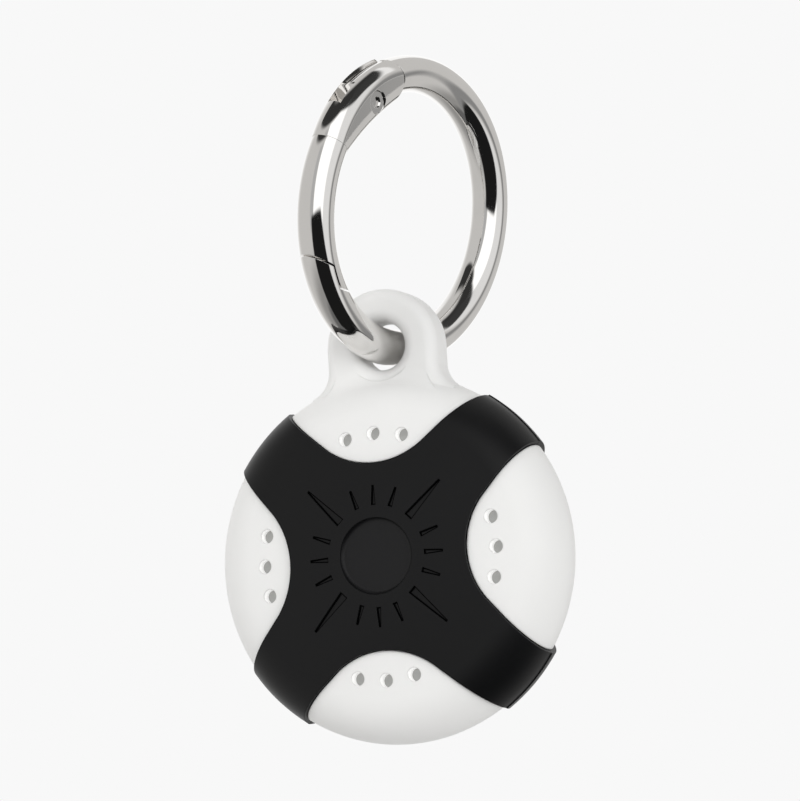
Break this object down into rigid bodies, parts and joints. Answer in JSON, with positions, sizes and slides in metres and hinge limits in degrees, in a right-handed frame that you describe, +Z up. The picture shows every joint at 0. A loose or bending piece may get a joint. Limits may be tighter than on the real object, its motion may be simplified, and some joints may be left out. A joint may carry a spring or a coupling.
{
  "type": "tracker tag holder",
  "caption": "Round holder for a coin-shaped tracker tag: a pale shell clasped by dark cross-shaped covers, hung by its tab from a polished spring-gate ring.",
  "frame": {"origin": "middle of the tag pocket: on its axis, halfway between the pocket's front wall and the lid's inner face", "axes": "+X to the right seen from the front, +Y to the back, the way the tag leaves its pocket, +Z up towards the tab and the ring"},
  "size_m": [0.0388, 0.0317, 0.0725],
  "materials": {
    "pale_shell": "soft-touch matt, off-white",
    "dark_cover": "fine satin, charcoal black",
    "plated_metal": "polished nickel plate",
    "rivet_metal": "bright plated",
    "spring_steel": "plain wire"
  },
  "bodies": {
    "ring": {"ring_body": "plated_metal"},
    "gate": {"ring_gate": "plated_metal", "hinge_rivet": "rivet_metal", "gate_spring": "spring_steel"},
    "plunger": {"spring_plunger": "rivet_metal"},
    "holder": {"holder_shell": "pale_shell", "front_cross": "dark_cover"},
    "rear_cover": {"rear_cross": "dark_cover"},
    "lid": {"rear_lid": "pale_shell"}
  },
  "joints": [
    {"name": "holder_swing", "type": "hinge", "parent": "ring", "child": "holder", "pos_m": [0, 0, 0.0226], "axis": [0, 1, 0], "range_deg": [-90, 90]},
    {"name": "gate_pivot", "type": "hinge", "parent": "ring", "child": "gate", "pos_m": [0.00229, -0.00881, 0.04744], "axis": [0.9362, -0.2952, -0.1908], "range_deg": [0, 32], "stiffness_Nm_per_rad": 0.01, "springref_deg": -57.3},
    {"name": "plunger_slide", "type": "slide", "parent": "gate", "child": "plunger", "axis": [-0.3489, -0.7151, -0.6057], "range_m": [0, 0.0003], "deforming": ["gate_spring"]},
    {"name": "rear_cross_lift", "type": "slide", "parent": "holder", "child": "rear_cover", "axis": [0, 1, 0], "range_m": [0, 0.03]},
    {"name": "lid_lift", "type": "slide", "parent": "holder", "child": "lid", "axis": [0, 1, 0], "range_m": [0, 0.018]}
  ],
  "couplings": [
    {"joint": "plunger_slide", "follows": "gate_pivot", "m_per_rad": 0.0005},
    {"joint": "lid_lift", "follows": "rear_cross_lift", "ratio": 0.6}
  ]
}
